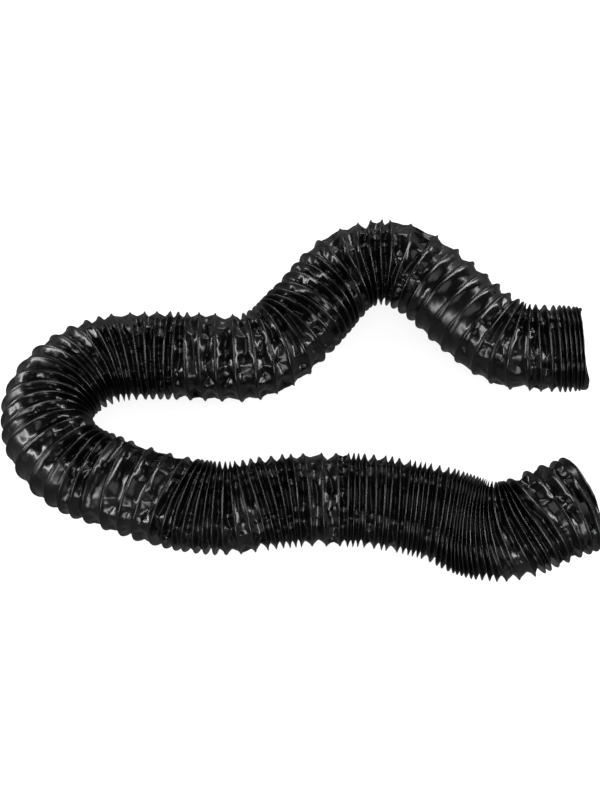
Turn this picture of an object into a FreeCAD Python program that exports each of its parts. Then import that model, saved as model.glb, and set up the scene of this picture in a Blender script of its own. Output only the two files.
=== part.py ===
import FreeCAD, Part
import math
import os
from FreeCAD import Placement, Rotation, Vector

# Flexible air duct, in millimetres: a black film tube laminated over one spring-wire helix,
# laid in a winding shape on a flat surface. +Z is up, the surface is z = 0, and the origin is
# below the middle of the duct's box. X runs along the longest side.

# Section
mouthBoreDia = 100.0      # the collar that the duct slips over
crestWall = 2.5           # from that bore out to the crest of a turn
hangDrop = 2.5            # how far the slack film hangs in between the turns, from that bore
wireDia = 1.6
filmWall = 1.0            # least wall between a valley and the bore
fullPitch = 26.0          # from turn to turn with the film pulled taut
slackDepth = 2.2          # how deep the film folds in where the turns lie close
leastDepth = 1.5
leastPleat = 19.5         # turns that lie closer than this share one pleat
restFlat = 0.5            # how far each turn is flattened where it rests
boreStep = 80.0           # most between two of the circles that carry the bore
boreTurn = 20.0           # most that the route turns between them, in degrees
boreTaper = 40.0          # from the mouth's bore to the clear way

# Mouths
edgeFilm = 3.0            # film past the end turn, out to the cut edge
mouthPleats = 1           # pleats that carry each mouth's round bore
tailReach = 14.0          # bared end of the wire, lying on the cut edge
tailGap = 0.1             # between the bared wire and the cut edge
tailPlace = {"upper": 200.0, "lower": 20.0}   # degrees round the cut edge from its top

# Where the duct parts into two lengths, at the outermost point of the U-bend
bendSplit = 0.534         # share of the route's length

# The centreline seen from above, from the upper mouth to the lower one, as drawn at its own
# span. It is laid out to the span named here.
routeSpan = 684.0         # along X, from the U-bend to the upper mouth
route = [
    (365, 60), (256, 60), (136, 189), (72, 193), (17, 126), (-44, 45), (-118, 45), (-184, 49),
    (-246, 51), (-305, 17), (-319, -46), (-284, -103), (-224, -128), (-158, -150), (-90, -158),
    (-20, -149), (50, -145), (115, -153), (172, -170), (226, -193), (341, -152),
]
routeShift = (-0.2, -2.1)            # puts the origin below the middle of the box
arcShare = 0.45           # of the shorter run beside a corner that its arc takes up

# Turns of the wire, as (how many, pitch), from the upper mouth to the lower one.
# The pitches are stretched together so that they fill the route.
turnStretches = [
    (5, 8.0), (7, 20.3), (3, 23.3), (8, 13.8), (4, 11.0), (4, 16.3), (8, 20.6), (11, 11.0),
    (13, 14.3), (3, 23.5), (8, 11.0), (4, 13.5), (4, 9.3), (3, 17.3), (4, 7.3), (1, 16.0),
    (2, 6.0), (1, 17.0), (5, 7.0), (1, 13.0), (9, 6.9), (6, 12.8), (6, 8.7),
]

crestDia = mouthBoreDia + 2 * crestWall
hangBoreDia = mouthBoreDia - 2 * hangDrop
crestRadius = crestDia / 2
axisHeight = crestRadius - restFlat


def routeLegs(points):
    """Straight runs joined by tangent arcs, as dictionaries with a length each."""
    legs = []
    here = points[0]
    for before, corner, after in zip(points, points[1:], points[2:]):
        inRun, outRun = corner - before, after - corner
        reach = arcShare * min(inRun.Length, outRun.Length)
        inDir, outDir = inRun.normalize(), outRun.normalize()
        turn = math.atan2(inDir.x * outDir.y - inDir.y * outDir.x, inDir.dot(outDir))
        radius = reach / math.tan(abs(turn) / 2)
        start = corner - inDir * reach
        legs.append({"at": here, "dir": inDir, "length": (start - here).Length, "turn": 0.0})
        legs.append({"at": start, "dir": inDir, "length": radius * abs(turn), "turn": turn})
        here = corner + outDir * reach
    last = points[-1] - here
    legs.append({"at": here, "dir": Vector(last).normalize(), "length": last.Length, "turn": 0.0})
    return legs


def laidOut(points):
    """The drawn points at the span that they are laid out to."""
    across = [x for x, y in points]
    scale = routeSpan / (max(across) - min(across))
    return [Vector((x + routeShift[0]) * scale, (y + routeShift[1]) * scale, axisHeight) for x, y in points]


legs = routeLegs(laidOut(route))
routeLength = sum(leg["length"] for leg in legs)


def along(s):
    """Point on the duct's axis and the direction there, s along the route."""
    s = min(max(s, 0.0), routeLength)
    for leg in legs:
        if s <= leg["length"] or leg is legs[-1]:
            break
        s -= leg["length"]
    if not leg["turn"]:
        return leg["at"] + leg["dir"] * s, Vector(leg["dir"])
    angle = leg["turn"] * s / leg["length"]
    radius = leg["length"] / leg["turn"]
    side = Vector(-leg["dir"].y, leg["dir"].x, 0)
    point = leg["at"] + leg["dir"] * (radius * math.sin(angle)) + side * (radius * (1 - math.cos(angle)))
    return point, leg["dir"] * math.cos(angle) + side * math.sin(angle)


def squareTo(point, way):
    """A placement whose Z runs along the duct and whose X points up."""
    up = Vector(0, 0, 1)
    return Placement(point, Rotation(up, way.cross(up), way, "ZXY"))


def ring(s, radius):
    """A circle square to the route, with its start at the top of the duct."""
    circle = Part.makeCircle(radius)
    circle.Placement = squareTo(*along(s))
    return Part.Wire([circle])


def turnPlaces():
    """Where each turn of the wire crosses the route."""
    pitches = [pitch for count, pitch in turnStretches for _ in range(count)]
    fill = (routeLength - 2 * edgeFilm) / sum(pitches)
    places = [edgeFilm]
    for pitch in pitches:
        places.append(places[-1] + pitch * fill)
    return places


def crestPlaces():
    """The turns that stand out as pleats: the end turns, and between them each that has room."""
    crests = [turns[0]]
    for s in turns:
        if s - crests[-1] >= leastPleat and turns[-1] - s >= leastPleat:
            crests.append(s)
    return crests + [turns[-1]]


turns = turnPlaces()
crests = crestPlaces()
valleys = [(a + b) / 2 for a, b in zip(crests, crests[1:])]
mouthEnds = (valleys[mouthPleats - 1], valleys[-mouthPleats])


def boreRadius(s):
    """The mouths' round bore, narrowing inwards to the clear way."""
    inside = min(s - mouthEnds[0], mouthEnds[1] - s)
    share = min(max(inside / boreTaper, 0.0), 1.0)
    return (mouthBoreDia + share * (hangBoreDia - mouthBoreDia)) / 2


def valleyRadius(i):
    """The film between two pleats folds in deeper the closer the wire's turns lie there."""
    pitch = (crests[i + 1] - crests[i]) / (turns.index(crests[i + 1]) - turns.index(crests[i]))
    slack = math.sqrt(max(1 - (pitch / fullPitch) ** 2, 0.0))
    depth = max(slackDepth * slack, leastDepth)
    return max(crestRadius - depth, boreRadius(valleys[i]) + filmWall)


def pleats(start, end):
    """Circles of the outside from start to end: a crest at each pleat, a valley in between."""
    marks = [(s, crestRadius) for s in crests if start < s < end]
    marks += [(s, valleyRadius(i)) for i, s in enumerate(valleys) if start <= s <= end]
    if start == 0:
        marks.append((0.0, crestRadius - filmWall))
    if end == routeLength:
        marks.append((routeLength, crestRadius - filmWall))
    return [ring(s, radius) for s, radius in sorted(marks)]


def borePlaces(start, end):
    """Where the bore's circles stand: closer where the route turns, further apart where it is straight."""
    tapers = [s for s in (mouthEnds[0] + boreTaper, mouthEnds[1] - boreTaper) if start < s < end]
    kept = [start]
    for s in range(math.ceil(start), math.floor(end)):
        swung = math.degrees(along(s)[1].getAngle(along(kept[-1])[1]))
        if swung >= boreTurn or s - kept[-1] >= boreStep:
            kept.append(s)
    spaced = [s for s in kept[1:] if all(abs(s - other) > boreStep / 5 for other in tapers + [start, end])]
    return sorted([start, end] + tapers + spaced)


def tube(outside, inside):
    """A hollow solid between two stacks of circles that share their end planes."""
    return Part.makeLoft(outside, True, True).cut(Part.makeLoft(inside, True, True))


def rested(solid):
    """Cut flat on the surface that the duct lies on."""
    box = solid.BoundBox
    below = Part.makeBox(box.XLength, box.YLength, crestDia, Vector(box.XMin, box.YMin, -crestDia))
    return solid.cut(below)


def length(start, end):
    """One length of duct with its pleats and its bore."""
    bore = [ring(s, boreRadius(s)) for s in borePlaces(start, end)]
    return rested(tube(pleats(start, end), bore))


def mouth(start, end):
    """The end pleats, round inside for a collar."""
    return rested(tube(pleats(start, end), [ring(s, mouthBoreDia / 2) for s in (start, end)]))


def wireTail(which, s, outwards):
    """The wire's cut end, bared where it leaves the film and lies along the mouth's edge."""
    point, way = along(s)
    away = way * outwards
    seat = squareTo(point + away * (wireDia / 2 + tailGap), away)
    angle = math.radians(tailPlace[which])
    radial = Vector(math.cos(angle), math.sin(angle), 0)
    tangent = Vector(-math.sin(angle), math.cos(angle), 0)
    centreRadius = (crestRadius - filmWall + mouthBoreDia / 2) / 2
    tail = Part.makeCylinder(wireDia / 2, tailReach, radial * centreRadius - tangent * tailReach / 2, tangent)
    tail.Placement = seat
    return tail


def nearest(places, s):
    return min(places, key=lambda place: abs(place - s))


bendEnd = nearest(valleys, bendSplit * routeLength)

parts = {
    "mouth_upper": mouth(0.0, mouthEnds[0]),
    "duct_upper_run": length(mouthEnds[0], bendEnd),
    "duct_lower_run": length(bendEnd, mouthEnds[1]),
    "mouth_lower": mouth(mouthEnds[1], routeLength),
    "wire_tail_upper": wireTail("upper", 0.0, -1),
    "wire_tail_lower": wireTail("lower", routeLength, 1),
}

os.makedirs("parts", exist_ok=True)
for name, shape in parts.items():
    shape.exportStep(f"parts/{name}.step")

print(f"route {routeLength:.1f}, turns {len(turns)}, pleats {len(crests)}")
print("corner radii", [round(leg["length"] / abs(leg["turn"])) for leg in legs if leg["turn"]])
for name, s in (("upper mouth", 0.0), ("upper mouth inside", mouthEnds[0]), ("bend split", bendEnd),
                ("lower mouth inside", mouthEnds[1]), ("lower mouth", routeLength)):
    point, way = along(s)
    print(name, f"s {s:.1f}", [round(v, 2) for v in point], [round(v, 5) for v in way])
for name, shape in parts.items():
    box = shape.optimalBoundingBox()
    print(name, shape.isValid(), len(shape.Solids), len(shape.Faces), f"{shape.Volume:.0f}",
          [round(v, 1) for v in (box.XMin, box.XMax, box.YMin, box.YMax, box.ZMin, box.ZMax)])
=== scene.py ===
import math
import random

import bmesh
import bpy
import numpy as np
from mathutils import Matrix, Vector, noise


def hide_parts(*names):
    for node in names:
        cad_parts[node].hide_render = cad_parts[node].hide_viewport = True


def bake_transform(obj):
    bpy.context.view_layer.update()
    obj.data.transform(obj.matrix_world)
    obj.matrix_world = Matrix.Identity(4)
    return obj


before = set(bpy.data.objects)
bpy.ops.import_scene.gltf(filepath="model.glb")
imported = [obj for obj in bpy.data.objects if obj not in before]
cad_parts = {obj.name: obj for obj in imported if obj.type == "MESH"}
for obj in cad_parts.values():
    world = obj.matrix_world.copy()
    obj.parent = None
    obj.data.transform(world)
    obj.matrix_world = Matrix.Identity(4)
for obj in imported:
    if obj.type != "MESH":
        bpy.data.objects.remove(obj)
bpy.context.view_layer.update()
print("frame loaded")

# Camera at the photograph's viewing angle, looking along +Y and down
photoCamera = {
    "target": (0.0028, -0.0149, 0.0525),
    "elevation": 63.0,
    "distance": 1.71,
    "lens": 61.7,
    "frameHeight": 36.0,      # mm of sensor on the picture's long side
}


def addCamera(settings):
    data = bpy.data.cameras.new("photoCamera")
    data.sensor_fit = "VERTICAL"
    data.sensor_height = settings["frameHeight"]
    data.lens = settings["lens"]
    camera = bpy.data.objects.new("photoCamera", data)
    bpy.context.collection.objects.link(camera)
    down = math.radians(settings["elevation"])
    back = Vector((0, -math.cos(down), math.sin(down))) * settings["distance"]
    camera.location = Vector(settings["target"]) + back
    camera.rotation_euler = (math.radians(90) - down, 0, 0)
    bpy.context.scene.camera = camera


addCamera(photoCamera)
print("camera placed")

# The duct's centreline seen from above in mm, as on the CAD model
ductRoute = {
    "points": [(365, 60), (318, 60), (254, 66.5), (148.5, 194), (68, 187.5), (23.5, 124),
               (-43, 44), (-117, 49.5), (-185, 51.5), (-246, 47.5), (-301.5, 10.5), (-316, -44.5),
               (-283.5, -100.5), (-223, -126), (-158, -149), (-90, -161.5), (-21, -148.5),
               (51, -145.5), (111, -151.5), (174, -165.5), (211, -185.5), (254, -190),
               (297, -169), (341, -152)],
    "shift": (-0.2, -2.1),    # puts the origin below the middle of the CAD box
    "height": 52.0,           # of the centreline over the floor
    "smoothing": 11.0,        # mm over which a turn's heading is evened out
    "smoothingReach": 30,     # mm to either side that this takes in
}


def routeLine(settings):
    curve = bpy.data.curves.new("ductRoute", "CURVE")
    curve.dimensions = "3D"
    curve.resolution_u = 40
    spline = curve.splines.new("NURBS")
    spline.points.add(len(settings["points"]) - 1)
    for point, (x, y) in zip(spline.points, settings["points"]):
        place = (x + settings["shift"][0], y + settings["shift"][1], settings["height"])
        point.co = (*[v / 1000 for v in place], 1)
    spline.order_u = 3
    spline.use_endpoint_u = True
    holder = bpy.data.objects.new("ductRoute", curve)
    bpy.context.collection.objects.link(holder)
    mesh = bpy.data.meshes.new_from_object(holder)
    line = np.array([vertex.co for vertex in mesh.vertices]) * 1000
    bpy.data.objects.remove(holder)
    bpy.data.curves.remove(curve)
    bpy.data.meshes.remove(mesh)
    return line


line = routeLine(ductRoute)
lineSteps = np.linalg.norm(np.diff(line, axis=0), axis=1)
lineReach = np.concatenate([[0], np.cumsum(lineSteps)])
routeLength = lineReach[-1]

# Steps of 1 mm along the line, with the heading evened out so that the turns fan out steadily
evenReach = np.arange(0, routeLength, 1.0)
evenX, evenY = (np.interp(evenReach, lineReach, line[:, axis]) for axis in (0, 1))
rawHeading = np.unwrap(np.arctan2(np.gradient(evenY), np.gradient(evenX)))
beside = ductRoute["smoothingReach"]
kernel = np.exp(-0.5 * (np.arange(-beside, beside + 1) / ductRoute["smoothing"]) ** 2)
padded = np.pad(rawHeading, beside, mode="edge")
evenHeading = np.convolve(padded, kernel / kernel.sum(), mode="valid")
evenBend = np.gradient(evenHeading)        # radians to the left per mm
print(f"route {routeLength:.1f} mm, tightest bend {1 / np.abs(evenBend).max():.1f} mm")


# Centreline points for places s in mm, run straight on past the two ends
def centreAt(s):
    inside = np.clip(s, 0, routeLength)
    heading = np.interp(s, evenReach, evenHeading)
    along = np.stack([np.cos(heading), np.sin(heading), np.zeros_like(heading)], axis=-1)
    point = np.stack([np.interp(inside, lineReach, line[:, axis]) for axis in range(3)], axis=-1)
    left = np.stack([-along[..., 1], along[..., 0], np.zeros_like(heading)], axis=-1)
    return point + along * (s - inside)[..., None], along, left


# A value at places s, from rows that each start with their place along the duct in mm
def alongDuct(rows, s, column=1):
    return np.interp(s, [row[0] for row in rows], [row[column] for row in rows])


# The wire's turns, from the upper mouth to the lower one
wireTurns = {
    "pitches": [4, 7, 6, 6, 9, 13, 13, 16, 18, 15, 20, 22, 22, 25, 21, 18, 21, 21, 21, 17,
                16, 16, 18, 17, 11, 12, 13, 14, 11, 14, 16, 16, 17, 14, 16, 22, 22, 20, 18, 12,
                10, 12, 11, 14, 13, 10, 12, 15, 16, 16, 16, 16, 17, 18, 17, 17, 21, 18, 14, 12,
                12, 17, 22, 23, 20, 19, 10, 10, 9, 10, 8, 9, 10, 13, 14, 13, 10, 11, 9, 9, 8, 17,
                18, 19, 7, 7, 6, 9, 15, 8, 6, 17, 6, 8, 6, 7, 8, 16, 9, 6, 7, 4, 4, 4, 4, 4, 4, 5,
                5, 5, 7, 10, 12, 8, 6, 11, 17, 15, 13, 8],
    "edge": 3.0,              # film past the end turn
    # How far a turn leans along the duct, from its left side to its right, as (place, mm)
    "lean": [(0, 2), (50, 4), (75, 0), (110, -6), (130, -9), (170, -5), (215, -3), (240, 2),
             (273, 9), (290, 5), (305, -8), (320, -19), (333, -25), (349, -30), (365, -32),
             (383, -27), (400, -14), (412, -5), (424, 3), (438, 9), (455, 5), (465, 0), (480, -14),
             (500, -22), (525, -20), (540, -8), (556, 3), (580, 5), (600, 3), (622, -5), (640, -6),
             (660, 2), (675, 7), (690, 13), (715, 16), (735, 18), (760, 23), (790, 26), (812, 22),
             (830, 13), (847, 3), (866, -6), (885, -10), (945, -9), (960, -4), (978, -7),
             (1000, -14), (1022, -22), (1042, -21), (1060, -14), (1085, -6), (1105, -6), (1120, 4),
             (1140, 7), (1155, 12), (1168, 8), (1180, 2), (1200, -1), (1215, -6), (1232, -4),
             (1268, 4), (1300, 5), (1330, 6), (1360, 9), (1380, 14), (1396, 18), (1420, 16),
             (1442, 19), (1465, 17), (1490, 13), (1515, 6), (1535, 2), (1558, 0)],
    # The leans were read on the photograph's outline: the cosine and sine of its viewing angle,
    # and how far the sine round the duct differs from one side of the outline to the other
    "leanSeen": (0.454, 0.891),
    "leanSpan": 1.6,
    # How far the top of a turn lies along the duct from its foot, as (place, mm)
    "tip": [(0, 11), (80, 10), (130, -6), (200, -9), (270, 0), (1300, 0), (1410, -15),
            (1500, -17), (1545, 0)],
    # How far a turn strays along the duct, in mm, how fast that changes from turn to turn, and
    # the pitch at which it does so in full, with the least and the most share of it
    "wander": 1.8,
    "wanderPace": 2.3,
    "wanderPitch": (12, 0.4, 1.6),
    "leastPitch": 1.5,        # where leaning turns crowd
}


def turnPlaces(settings):
    fill = (routeLength - 2 * settings["edge"]) / sum(settings["pitches"])
    return settings["edge"] + np.concatenate([[0], np.cumsum(settings["pitches"])]) * fill


turnPlace = turnPlaces(wireTurns)
turnCount = len(turnPlace) - 1


# Place in mm of the wire at a turn number, run on at the end pitch past the two ends
def placeOfTurn(turn):
    inside = np.clip(turn, 0, turnCount)
    place = np.interp(inside, np.arange(turnCount + 1), turnPlace)
    before = np.minimum(turn, 0) * (turnPlace[1] - turnPlace[0])
    after = np.maximum(turn - turnCount, 0) * (turnPlace[-1] - turnPlace[-2])
    return place + before + after


# How far a leaning turn lies along the duct from its own place, round_ round it from its foot
def leanShift(s, round_):
    lean, tip = alongDuct(wireTurns["lean"], s), alongDuct(wireTurns["tip"], s)
    level, down = wireTurns["leanSeen"]
    facing = level * np.cos(np.interp(s, evenReach, evenHeading))
    sideways = np.sin(round_) + facing / np.hypot(facing, down)
    return tip * (1 - np.cos(round_)) / 2 - lean / wireTurns["leanSpan"] * sideways


# Film over the turns and between them. Places, lengths and radii are in mm
filmShape = {
    "rows": 11,               # to a turn, outside
    "columns": 134,
    "innerRows": 2,
    "innerColumns": 48,
    # Columns lie closer on the top and the sides: shares of them, and how far round they reach
    "columnSpread": ((0, 0.08, 0.92, 1), (0, 0.19, 0.81, 1)),
    # Rows lie closer beside the wire: mm from it, and the most as a share of the pitch
    "nearRow": (0.8, 0.06),
    "sideRow": (1.7, 0.13),
    "seamTurn": 58,           # where one piece of film ends and the next begins
    "floorGap": 0.02,

    "bendRadius": 53.0,       # where the film from turn to turn is measured on a bend
    "leastPitch": 2.0,        # on the inner side of a bend
    "leastRadius": 39.0,
    "mouthRadius": 52.6,      # of the crests, before what they stand proud
    "proud": [(0, 0.6), (20, 2.2), (60, 3.4), (700, 3.8), (850, 3.8), (1330, 4.0), (1400, 4.6),
              (1530, 4.6), (1558, 2.5)],
    "oval": [(0, 0), (1330, 0), (1400, 0.05), (1558, 0.06)],         # how far wider than high
    "wobble": 0.9,            # how far a turn strays from round
    "wobblePace": 5.3,
    "ridgeHalf": 1.3,         # half the width of the film's ridge over the wire
    "ridgeSteep": 2.2,
    "ridgePitch": (9, 0.35),  # pitch at which it stands in full, and the least share of it

    "fullPitch": 26.0,        # from turn to turn with the film pulled taut
    "leastSlack": 0.3,
    "crestFlat": (0.7, 0.08),  # mm beside the wire that don't fold, and the most as a share
    "deepRight": [(105, 0), (140, 1.6), (225, 1.4), (270, 0.4), (300, 0)],   # more fold there
    "deepLeft": [(1430, 0), (1465, 0.6), (1535, 0.7), (1558, 0)],
    "outerBend": 70,          # radius of a bend whose outer side counts in full
    "outerFold": 0.4,         # how much less the film folds there
    "outerCalm": 0.8,         # and how much less it crumples
    # The foot crumples less: its share, how far below the axis that ends and over how much,
    # both in radii
    "calmFoot": (0.2, 0.95, 0.3),

    # Smaller facets take the pinched points of another stretch of the strip, closer together
    "smallShare": 0.25,
    "smallPace": 1.83,
    "smallStart": 5,

    "ragged": 0.7,            # how far a cut edge strays along the duct
    "raggedPace": 90,         # to a metre
    "tuft": 6.0,              # how far the upper mouth's film stands out at its two sides
    "tuftSharp": 7,
    "hemFlare": 1.6,          # how far a cut edge stands outwards
    "hemReach": 4,
    "hemShare": 0.3,          # of that all the way round
    "hemPace": 5,             # how fast the rest changes on the way round
    "rimDrop": 1.0,           # from the crests in to the film at the cut edge
    "rimWall": 0.8,           # that film, its folded hem included
    "rimHang": 1.2,           # how far its inside hangs in between the turns
    "rimLength": 2,
    "rimTaper": 30,           # from there to the slack inside
    "innerCrest": 50.2,
    "innerValley": 38.0,

    # Place, how deep the film folds in, how crumpled it is, creases to a turn, how high the
    # ridge over the wire stands, and how far the film bulges on the outer side of a bend
    "columnNames": ("place", "fold", "crumple", "creases", "ridge", "swell"),
    "look": [
        (0, 1.4, 0.4, 20, 0.8, 0.0),
        (18, 6.0, 0.6, 22, 1.8, 0.0),
        (60, 7.0, 0.9, 24, 2.4, 0.0),
        (120, 5.5, 0.8, 22, 2.4, 0.0),
        (165, 2.8, 0.35, 12, 2.4, 0.0),
        (205, 3.2, 0.45, 14, 2.4, 0.0),
        (250, 8.5, 1.0, 22, 2.6, 0.0),
        (340, 9.0, 1.0, 22, 2.6, 0.0),
        (420, 8.0, 0.9, 24, 2.4, 0.0),
        (480, 8.5, 1.0, 22, 2.6, 0.0),
        (560, 8.5, 1.1, 20, 2.8, 0.0),
        (640, 8.0, 0.9, 24, 2.4, 0.0),
        (720, 8.0, 0.6, 20, 2.4, 0.5),
        (790, 8.0, 0.7, 18, 2.4, 1.0),
        (860, 8.0, 0.8, 18, 2.4, 1.0),
        (930, 8.0, 1.0, 18, 2.6, 0.5),
        (990, 7.0, 1.1, 20, 2.6, 0.0),
        (1045, 8.0, 1.0, 22, 2.4, 0.0),
        (1080, 7.5, 0.7, 22, 2.2, 0.0),
        (1140, 8.0, 0.8, 22, 2.2, 0.0),
        (1210, 8.0, 0.7, 22, 2.2, 0.0),
        (1240, 8.0, 1.0, 24, 2.4, 0.0),
        (1290, 7.0, 0.4, 22, 2.0, 0.0),
        (1400, 7.0, 0.4, 22, 2.0, 0.0),
        (1450, 8.0, 0.6, 22, 2.2, 0.0),
        (1500, 9.0, 1.1, 18, 2.6, 0.0),
        (1540, 7.0, 1.2, 18, 2.2, 0.0),
        (1558, 1.4, 0.5, 20, 0.8, 0.0),
    ],
}

# The points where the film is pinched in between two turns, and the creases that run from them
pinchShape = {
    "seed": 23,
    "spacing": (0.55, 1.45),  # from one to the next, in the look's creases
    "swing": 0.8,             # chance that deep and shallow ones take turns
    "depth": (0.2, 1.0),      # how much deeper or shallower one is
    "astray": 0.24,           # how far one strays from the middle between two turns
    "corner": (0.2, 0.8),     # where the creases of two of them meet on the wire
    "crumpleDepth": 0.75,     # how far their depths differ at full crumple
    "depthPitch": (4, 10, 0.1),   # from this pitch on and over this much, and the least share
    "strayPitch": (14, 0.3),  # pitch at which they stray in full, and the least share of it
    # How hollow the film hangs from the wire: with a wide pitch, how much more with a close one,
    # and the pitch at which that starts, and over how much it comes
    "hollow": (1.15, 0.35, 16, 8),
}


def lookAt(s, name):
    return alongDuct(filmShape["look"], s, filmShape["columnNames"].index(name))


# For each pinched point along the film's spiral strip: its place in turns, how deep it is, how
# far across it lies, and where its crease to the next one meets either wire
def pinchPoints(settings):
    dice = random.Random(settings["seed"])
    turn = -2.0
    points = []
    while turn < turnCount + 3:
        count = lookAt(placeOfTurn(np.array(turn)), "creases")
        turn += dice.uniform(*settings["spacing"]) / count
        way = (-1) ** len(points) if dice.random() < settings["swing"] else dice.choice((-1, 1))
        deep = way * dice.uniform(*settings["depth"])
        stray = dice.uniform(-settings["astray"], settings["astray"])
        corners = (dice.uniform(*settings["corner"]), dice.uniform(*settings["corner"]))
        points.append((turn, deep, 0.5 + stray, *corners))
    return np.array(points).T


pinchTurn, pinchDeep, pinchAcross, cornerBefore, cornerAfter = pinchPoints(pinchShape)


# Depth of the flat facets between the pinched points and the wire, as a share of the fold
def facetDepth(strip, across, crumple, local):
    settings = pinchShape
    number = np.clip(np.searchsorted(pinchTurn, strip) - 1, 0, len(pinchTurn) - 2)
    between = (strip - pinchTurn[number]) / (pinchTurn[number + 1] - pinchTurn[number])
    stray = pinchAcross - 0.5
    middle = 0.5 + stray[number] * (1 - between) + stray[number + 1] * between
    fullPitch, least = settings["strayPitch"]
    middle = 0.5 + (middle - 0.5) * np.clip(local / fullPitch, least, 1)
    rise = np.where(across < middle, across / middle, (1 - across) / (1 - middle))
    wide, more, fromPitch, over = settings["hollow"]
    rise = 1 - (1 - rise) ** (wide + more * np.clip((fromPitch - local) / over, 0, 1))
    corner = np.where(across < middle, cornerBefore[number], cornerAfter[number])
    fromPitch, over, least = settings["depthPitch"]
    unlike = settings["crumpleDepth"] * crumple * np.clip((local - fromPitch) / over, least, 1)
    deep = 1 + unlike * pinchDeep[number]
    deepNext = 1 + unlike * pinchDeep[number + 1]
    share = np.clip(between - corner * (1 - rise), 0, rise)
    return share * deepNext + (rise - share) * deep


# Facets of crumpled film, some pushed out and some in, with sharp creases between them
crumpleShape = {
    "seed": 1795622085,       # without one, noise_vector takes its offsets from the clock
    "width": 13.0,            # mm across a facet
    "lift": 0.8,              # mm
    "outward": 0.35,          # how far out they all stand, as a share of that
    "unlike": 0.65,           # how far they differ
    "mix": (12.9, 78.2, 37.7),    # turns a facet's place into its own lift
    "bendPace": 0.9,          # how fast the creases bend, to a facet
    "bendReach": 0.45,
    "fade": 3.0,              # mm beside the wire
    "fullPitch": (14, 0.2),   # at which they lift in full, and the least share of it
    "unfolded": (17.0, 52),   # mm from turn to turn and radius, as they are spread on the film
}


def crumpledFacets(strip, left, up):
    settings = crumpleShape
    length, radius = settings["unfolded"]
    film = np.stack([strip * length, radius * left, radius * up], axis=1)
    mixX, mixY, mixZ = settings["mix"]
    lift = np.empty(len(film))
    for number, co in enumerate(film):
        here = Vector(co) / settings["width"]
        here += noise.noise_vector(here * settings["bendPace"]) * settings["bendReach"]
        reach, points = noise.voronoi(here)
        nearest = points[0]
        way = math.sin(nearest.x * mixX + nearest.y * mixY + nearest.z * mixZ)
        share = settings["outward"] + settings["unlike"] * way
        lift[number] = share * (reach[1] - reach[0])
    return lift * settings["lift"]


# Slack film stands a little proud of the wire, away from the mouths
def crestAt(s):
    return filmShape["mouthRadius"] + alongDuct(filmShape["proud"], s)


# The lower end lies a little wider than it is high
def ovalShare(s, left, up):
    return 1 + alongDuct(filmShape["oval"], s) * (left ** 2 - up ** 2)


# Film from turn to turn, more on the outer side of a bend and less on the inner
def localPitch(pitch, bend, left):
    settings = filmShape
    return np.clip(pitch * (1 - bend * settings["bendRadius"] * left), settings["leastPitch"], None)


# How far the film hangs in between two turns
def foldDepth(strip, across, s, local, left, crumple, outer):
    settings = filmShape
    slack = np.sqrt(np.clip(1 - (local / settings["fullPitch"]) ** 2, settings["leastSlack"], 1))
    width, most = settings["crestFlat"]
    flat = np.minimum(width / local, most)
    inside = np.clip((across - flat) / (1 - 2 * flat), 0, 1)
    depth = facetDepth(strip, inside, crumple, local)
    elsewhere = np.mod(strip * settings["smallPace"] + settings["smallStart"], turnCount)
    small = facetDepth(elsewhere, inside, crumple, local)
    even = np.sin(math.pi / 2 * np.clip(2 * np.minimum(inside, 1 - inside), 0, 1))
    depth += settings["smallShare"] * (small - even)
    fold = lookAt(s, "fold") * slack * depth * (1 - settings["outerFold"] * outer)
    fold *= 1 + alongDuct(settings["deepRight"], s) * np.clip(-left, 0, 1)
    fold *= 1 + alongDuct(settings["deepLeft"], s) * np.clip(left, 0, 1)
    return fold


# Outside of the film. strip is the place on the spiral in turns, across is from turn to turn
def outerRadius(strip, across, pitch, s, round_, bend):
    settings = filmShape
    up, left = -np.cos(round_), np.sin(round_)
    local = localPitch(pitch, bend, left)
    bent = np.clip(np.abs(bend) * settings["outerBend"], 0, 1)
    outer = np.clip(-left * np.sign(bend), 0, 1) * bent * (lookAt(s, "swell") > 0)
    calm, below, over = settings["calmFoot"]
    crumple = calm + (1 - calm) * np.clip((up + below) / over, 0, 1)
    crumple = lookAt(s, "crumple") * crumple * (1 - settings["outerCalm"] * outer)
    fold = foldDepth(strip, across, s, local, left, crumple, outer)
    swell = lookAt(s, "swell") * outer * np.sin(math.pi * np.clip(across, 0, 1))

    fromWire = np.minimum(across, 1 - across) * local
    fullPitch, least = settings["ridgePitch"]
    ridge = 1 - np.exp(-(fromWire / settings["ridgeHalf"]) ** settings["ridgeSteep"])
    ridge = lookAt(s, "ridge") * ridge * np.clip(local / fullPitch, least, 1)

    fullPitch, least = crumpleShape["fullPitch"]
    fade = np.clip(fromWire / crumpleShape["fade"], 0, 1)
    lift = crumpledFacets(strip + across, left, up)
    lift *= crumple * fade * np.clip(local / fullPitch, least, 1)

    # The fixed coordinates here, as in wanderOf, only pick a stretch of the noise
    pace = settings["wobblePace"]
    wobble = np.array([noise.noise((x * pace, 8.1, 2.4)) for x in strip]) * settings["wobble"]
    toEdge = np.minimum(s, routeLength - s)
    hem = np.clip(1 - toEdge / settings["hemReach"], 0, 1) * settings["hemFlare"]
    pace = settings["hemPace"]
    hem *= np.array([settings["hemShare"] + noise.noise((pace * x, pace * y, 7.7))
                     for x, y in zip(left, up)])
    radius = crestAt(s) + wobble - ridge - fold + swell + lift + hem
    return np.maximum(radius, settings["leastRadius"]) * ovalShare(s, left, up)


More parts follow.
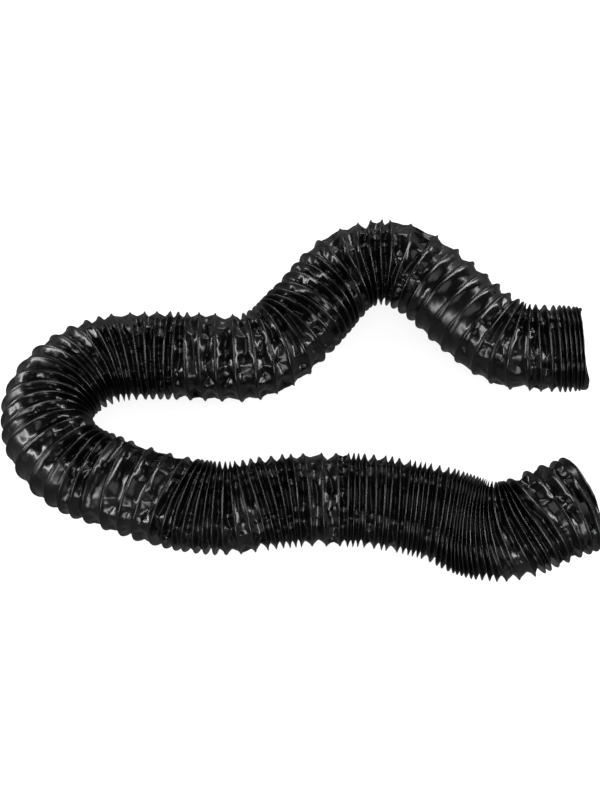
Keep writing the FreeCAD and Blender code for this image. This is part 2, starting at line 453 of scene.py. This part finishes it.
# Inside of the film, which follows the wire and hangs in between
def innerRadius(strip, across, pitch, s, round_, bend):
    settings = filmShape
    hang = 1 - np.abs(2 * across - 1)
    deep = settings["innerCrest"] - (settings["innerCrest"] - settings["innerValley"]) * hang
    toEdge = np.minimum(s, routeLength - s)
    share = np.clip((toEdge - settings["rimLength"]) / settings["rimTaper"], 0, 1)
    rim = crestAt(s) - settings["rimDrop"] - settings["rimWall"] - settings["rimHang"] * hang
    return (rim + (deep - rim) * share) * ovalShare(s, np.sin(round_), -np.cos(round_))


# How far across from one turn to the next each row lies, closer together beside the wire
def rowShares(step, rows, pitch):
    near, side = (np.clip(width / pitch, 0, most)
                  for width, most in (filmShape["nearRow"], filmShape["sideRow"]))
    even = side + (step - 2) / (rows - 4) * (1 - 2 * side)
    return np.select([step == 0, step == 1, step == rows - 1], [0 * near, near, 1 - near], even)


# How far the wire strays along the duct
def wanderOf(strip, across, pitch):
    pace = wireTurns["wanderPace"]
    here = np.array([noise.noise((x * pace, 3.7, 0)) for x in strip])
    after = np.array([noise.noise((x * pace + pace, 3.7, 0)) for x in strip])
    fullPitch, least, most = wireTurns["wanderPitch"]
    between = here * (1 - across) + after * across
    return between * wireTurns["wander"] * np.clip(pitch / fullPitch, least, most)


# A grid wound round the route, its rows running with the wire and its seam against the floor
def spiralGrid(mesh, firstTurn, lastTurn, rows, columns, radiusOf):
    grid = bmesh.new()
    rowCount = (lastTurn - firstTurn) * rows
    bmesh.ops.create_grid(grid, x_segments=columns, y_segments=rowCount, size=0.5)
    flat = np.array([vertex.co for vertex in grid.verts])
    column = np.rint((flat[:, 0] + 0.5) * columns) / columns
    column = np.interp(column, *filmShape["columnSpread"])
    row = np.rint((flat[:, 1] + 0.5) * rowCount)
    whole = np.floor(row / rows)
    step = row - whole * rows
    strip = firstTurn + whole + column
    round_ = 2 * math.pi * column
    start = placeOfTurn(strip)
    end = placeOfTurn(strip + 1)
    start, end = start + leanShift(start, round_), end + leanShift(end, round_)
    pitch = np.maximum(end - start, wireTurns["leastPitch"])
    across = rowShares(step, rows, pitch) if radiusOf is outerRadius else step / rows
    s = start + across * pitch
    bend = np.interp(s, evenReach, evenBend)
    radius = radiusOf(strip, across, pitch, s, round_, bend)
    point, along, side = centreAt(s + wanderOf(strip, across, pitch))
    place = point + side * (radius * np.sin(round_))[:, None]
    place[:, 2] = np.maximum(place[:, 2] - radius * np.cos(round_), filmShape["floorGap"])
    for vertex, co in zip(grid.verts, place / 1000):
        vertex.co = co
    bmesh.ops.remove_doubles(grid, verts=grid.verts, dist=1e-6)
    bmesh.ops.recalc_face_normals(grid, faces=grid.faces)
    if radiusOf is innerRadius:
        bmesh.ops.reverse_faces(grid, faces=grid.faces)
    part = bpy.data.meshes.new("spiral")
    grid.to_mesh(part)
    grid.free()
    mesh.from_mesh(part)
    bpy.data.meshes.remove(part)


# Edges of the holes in a shell that lie about a point
def rimEdges(mesh, centre):
    reach = 0.08              # metres, more than a rim's radius
    return [edge for edge in mesh.edges if edge.is_boundary
            and all((vertex.co - centre).length < reach for vertex in edge.verts)]


# Cut the film off at a mouth, leaning as its turns do, and leave the edge a little ragged
def cutMouth(mesh, centre, way, side, tip, tuft):
    settings = filmShape
    height = ductRoute["height"] / 1000
    way = (way + Vector((0, 0, abs(tip) / (2 * ductRoute["height"])))).normalized()
    bmesh.ops.bisect_plane(mesh, geom=mesh.verts[:] + mesh.edges[:] + mesh.faces[:], dist=1e-6,
                           plane_co=centre - Vector((0, 0, height)), plane_no=way,
                           clear_outer=True)
    for vertex in {vertex for edge in rimEdges(mesh, centre) for vertex in edge.verts}:
        aside = abs((vertex.co - centre).dot(side)) / height
        stray = noise.noise(vertex.co * settings["raggedPace"]) * settings["ragged"]
        stray += tuft * min(aside, 1) ** settings["tuftSharp"]
        vertex.co += way * (stray / 1000)


# A length of film between two turns, or up to a mouth
def filmPiece(name, firstTurn, lastTurn):
    settings = filmShape
    mesh = bmesh.new()
    spiralGrid(mesh, firstTurn, lastTurn, settings["rows"], settings["columns"], outerRadius)
    spiralGrid(mesh, firstTurn, lastTurn, settings["innerRows"], settings["innerColumns"],
               innerRadius)
    for turn, outwards in ((firstTurn, -1), (lastTurn, 1)):
        # A row runs on by one turn on its way round, so its middle lies half a turn on
        place = float(np.clip(placeOfTurn(np.array(turn + 0.5)), 0, routeLength))
        point, along, side = centreAt(np.array([place]))
        centre = Vector(point[0] / 1000)
        if turn < 0 or turn > turnCount:
            tip = alongDuct(wireTurns["tip"], place)
            tuft = settings["tuft"] if turn < 0 else 0
            cutMouth(mesh, centre, Vector(along[0]) * outwards, Vector(side[0]), tip, tuft)
        bmesh.ops.bridge_loops(mesh, edges=rimEdges(mesh, centre))
    bmesh.ops.triangulate(mesh, faces=mesh.faces)
    for face in mesh.faces:
        face.smooth = True
    data = bpy.data.meshes.new(name)
    mesh.to_mesh(data)
    mesh.free()
    piece = bpy.data.objects.new(name, data)
    bpy.context.collection.objects.link(piece)
    print(name, len(data.polygons), "triangles")
    return piece


noise.seed_set(crumpleShape["seed"])
filmUpper = filmPiece("filmUpperRun", -2, filmShape["seamTurn"])
filmLower = filmPiece("filmLowerRun", filmShape["seamTurn"], turnCount + 1)


# sRGB hex to linear colour
def toLinear(code):
    parts = [int(code[i:i + 2], 16) / 255 for i in (0, 2, 4)]
    return tuple(v / 12.92 if v <= 0.04045 else ((v + 0.055) / 1.055) ** 2.4 for v in parts) + (1,)


# A node with its settings, and links as {its input: (other node, that node's output)}
def addNode(tree, kind, settings=None, links=None):
    node = tree.nodes.new(kind)
    for key, value in (settings or {}).items():
        if isinstance(key, int) or key in node.inputs:
            node.inputs[key].default_value = value
        else:
            setattr(node, key, value)
    for key, (other, output) in (links or {}).items():
        tree.links.new(other.outputs[output], node.inputs[key])
    return node


def newMaterial(name):
    material = bpy.data.materials.new(name)
    material.use_nodes = True
    material.node_tree.nodes.clear()
    return material, material.node_tree


# Plasticised PVC film, calendered black: a wet-looking gloss, with fine creases from packing
pvcFilm = {
    "colour": "060607",
    "ior": 1.53,
    "roughness": (0.2, 0.32),
    "patchScale": 28.0,       # to a metre, patches of more and less gloss about 36 mm across
    "patchNoise": (0.35, 0.65),    # what the noise spans
    "creaseWidth": 8.0,       # mm between the fine packing creases
    "creaseLift": 0.05,
    "creaseHeight": 0.001,
    "warpScale": 60.0,        # to a metre, the creases' own bends
    "warpReach": 0.006,
    "grainWidth": 2.6,        # mm, calender grain drawn coarse enough to show
    "grainLift": 0.08,
    "grainHeight": 0.0005,
}


def pvcFilmMaterial(settings):
    material, tree = newMaterial("calenderedPvcFilm")
    place = addNode(tree, "ShaderNodeTexCoord")
    warp = addNode(tree, "ShaderNodeTexNoise", {"Scale": settings["warpScale"], "Detail": 2.0},
                   {"Vector": (place, "Object")})
    warped = addNode(tree, "ShaderNodeVectorMath",
                     {"operation": "MULTIPLY_ADD", 1: (settings["warpReach"],) * 3},
                     {0: (warp, "Color"), 2: (place, "Object")})
    creases = addNode(tree, "ShaderNodeTexVoronoi",
                      {"Scale": 1000 / settings["creaseWidth"], "feature": "F1"},
                      {"Vector": (warped, "Vector")})
    grain = addNode(tree, "ShaderNodeTexNoise",
                    {"Scale": 1000 / settings["grainWidth"], "Detail": 3.0},
                    {"Vector": (place, "Object")})
    patches = addNode(tree, "ShaderNodeTexNoise",
                      {"Scale": settings["patchScale"], "Detail": 3.0},
                      {"Vector": (place, "Object")})
    gloss = addNode(tree, "ShaderNodeMapRange",
                    {"From Min": settings["patchNoise"][0], "From Max": settings["patchNoise"][1],
                     "To Min": settings["roughness"][0], "To Max": settings["roughness"][1]},
                    {"Value": (patches, "Fac")})
    creased = addNode(tree, "ShaderNodeBump",
                      {"Strength": settings["creaseLift"], "Distance": settings["creaseHeight"]},
                      {"Height": (creases, "Distance")})
    grained = addNode(tree, "ShaderNodeBump",
                      {"Strength": settings["grainLift"], "Distance": settings["grainHeight"]},
                      {"Height": (grain, "Fac"), "Normal": (creased, "Normal")})
    surface = addNode(tree, "ShaderNodeBsdfPrincipled",
                      {"Base Color": toLinear(settings["colour"]), "IOR": settings["ior"]},
                      {"Roughness": (gloss, "Result"), "Normal": (grained, "Normal")})
    addNode(tree, "ShaderNodeOutputMaterial", None, {"Surface": (surface, "BSDF")})
    return material


filmMaterial = pvcFilmMaterial(pvcFilm)
for piece in (filmUpper, filmLower):
    piece.data.materials.append(filmMaterial)

# Spring-steel wire, drawn and bright: grey metal with fine draw lines
springWire = {
    "colour": "9a9b9e",
    "roughness": (0.25, 0.45),
    "lineWidth": 0.8,         # mm between the draw lines
}


def springWireMaterial(settings):
    material, tree = newMaterial("drawnSpringSteel")
    place = addNode(tree, "ShaderNodeTexCoord")
    lines = addNode(tree, "ShaderNodeTexNoise",
                    {"Scale": 1000 / settings["lineWidth"], "Detail": 2.0},
                    {"Vector": (place, "Object")})
    gloss = addNode(tree, "ShaderNodeMapRange",
                    {"To Min": settings["roughness"][0], "To Max": settings["roughness"][1]},
                    {"Value": (lines, "Fac")})
    surface = addNode(tree, "ShaderNodeBsdfPrincipled",
                      {"Base Color": toLinear(settings["colour"]), "Metallic": 1.0},
                      {"Roughness": (gloss, "Result")})
    addNode(tree, "ShaderNodeOutputMaterial", None, {"Surface": (surface, "BSDF")})
    return material


wireTails = [bpy.data.objects["wire_tail_upper"], bpy.data.objects["wire_tail_lower"]]
wireMaterial = springWireMaterial(springWire)
for tail in wireTails:
    tail.material_slots[0].material = wireMaterial
print("materials done")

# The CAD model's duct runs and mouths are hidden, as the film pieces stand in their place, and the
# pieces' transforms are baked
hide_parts("duct_upper_run", "mouth_upper")
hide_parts("duct_lower_run", "mouth_lower")
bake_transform(filmUpper)
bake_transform(filmLower)

# Plain pale floor and soft studio light
studio = {
    "floorSize": 9.0,
    "floorColour": "a8a8a6",
    "floorGlow": 0.88,        # what the camera sees of it, besides its own light and shade
    "floorGloss": 0.16,       # what gloss shows of it
    "domeDiffuse": 0.25,      # what the dome gives to matt surfaces
    "domeGlossy": 0.03,       # the dim room overhead, as gloss shows it
    "horizon": (-0.02, 0.12),      # heights between which the pale sweep gives way to that room
    "lampAim": (0.0, 0.0, 0.05),
    "lamps": [
        # place, size, watts
        ((0.1, -0.5, 2.3), (1.5, 1.9), 10.0),
        ((0.0, -2.4, 0.6), (2.2, 0.7), 32.0),
        ((0.2, 2.3, 1.1), (1.8, 0.4), 18.0),
        ((1.9, -0.1, 0.75), (2.2, 0.4), 40.0),
        ((-2.0, -0.1, 0.75), (2.2, 0.4), 40.0),
    ],
}


def addFloor(settings):
    sheet = bmesh.new()
    bmesh.ops.create_grid(sheet, x_segments=1, y_segments=1, size=settings["floorSize"] / 2)
    data = bpy.data.meshes.new("paperFloor")
    sheet.to_mesh(data)
    sheet.free()
    floor = bpy.data.objects.new("paperFloor", data)
    bpy.context.collection.objects.link(floor)
    material, tree = newMaterial("whitePaperSweep")
    rays = addNode(tree, "ShaderNodeLightPath")
    gloss = addNode(tree, "ShaderNodeMath", {"operation": "MULTIPLY", 1: settings["floorGloss"]},
                    {0: (rays, "Is Glossy Ray")})
    glow = addNode(tree, "ShaderNodeMath",
                   {"operation": "MULTIPLY_ADD", 1: settings["floorGlow"]},
                   {0: (rays, "Is Camera Ray"), 2: (gloss, "Value")})
    paper = addNode(tree, "ShaderNodeBsdfDiffuse", {"Color": toLinear(settings["floorColour"])})
    light = addNode(tree, "ShaderNodeEmission", None, {"Strength": (glow, "Value")})
    both = addNode(tree, "ShaderNodeAddShader", None,
                   {0: (paper, "BSDF"), 1: (light, "Emission")})
    # Gloss shows the floor's own glow alone
    sweep = addNode(tree, "ShaderNodeMixShader", None,
                    {0: (rays, "Is Glossy Ray"), 1: (both, "Shader"), 2: (light, "Emission")})
    addNode(tree, "ShaderNodeOutputMaterial", None, {"Surface": (sweep, "Shader")})
    data.materials.append(material)


# White for the camera and through glass, a dim room with a pale horizon for gloss
def addDome(settings):
    world = bpy.data.worlds.new("studioDome")
    bpy.context.scene.world = world
    world.use_nodes = True
    tree = world.node_tree
    tree.nodes.clear()
    rays = addNode(tree, "ShaderNodeLightPath")
    place = addNode(tree, "ShaderNodeTexCoord")
    axes = addNode(tree, "ShaderNodeSeparateXYZ", None, {"Vector": (place, "Generated")})
    band = addNode(tree, "ShaderNodeMapRange",
                   {"From Min": settings["horizon"][0], "From Max": settings["horizon"][1],
                    "To Min": 1.0, "To Max": settings["domeGlossy"]},
                   {"Value": (axes, "Z")})
    room = addNode(tree, "ShaderNodeMix", {"data_type": "FLOAT", 2: settings["domeDiffuse"]},
                   {0: (rays, "Is Glossy Ray"), 3: (band, "Result")})
    seen = addNode(tree, "ShaderNodeMath", {"operation": "MAXIMUM"},
                   {0: (rays, "Is Camera Ray"), 1: (rays, "Is Transmission Ray")})
    level = addNode(tree, "ShaderNodeMix", {"data_type": "FLOAT", 3: 1.0},
                    {0: (seen, "Value"), 2: (room, 0)})
    dome = addNode(tree, "ShaderNodeBackground", {"Color": (1, 1, 1, 1)}, {"Strength": (level, 0)})
    addNode(tree, "ShaderNodeOutputWorld", None, {"Surface": (dome, "Background")})


def addLamps(settings):
    for number, (place, size, watts) in enumerate(settings["lamps"]):
        data = bpy.data.lights.new(f"softbox{number}", "AREA")
        data.shape = "RECTANGLE"
        data.size, data.size_y = size
        data.energy = watts
        lamp = bpy.data.objects.new(f"softbox{number}", data)
        bpy.context.collection.objects.link(lamp)
        lamp.location = place
        aim = Vector(settings["lampAim"]) - Vector(place)
        lamp.rotation_euler = aim.to_track_quat("-Z", "Y").to_euler()


addFloor(studio)
addDome(studio)
addLamps(studio)
bpy.context.scene.view_settings.view_transform = "Standard"
print("studio set")
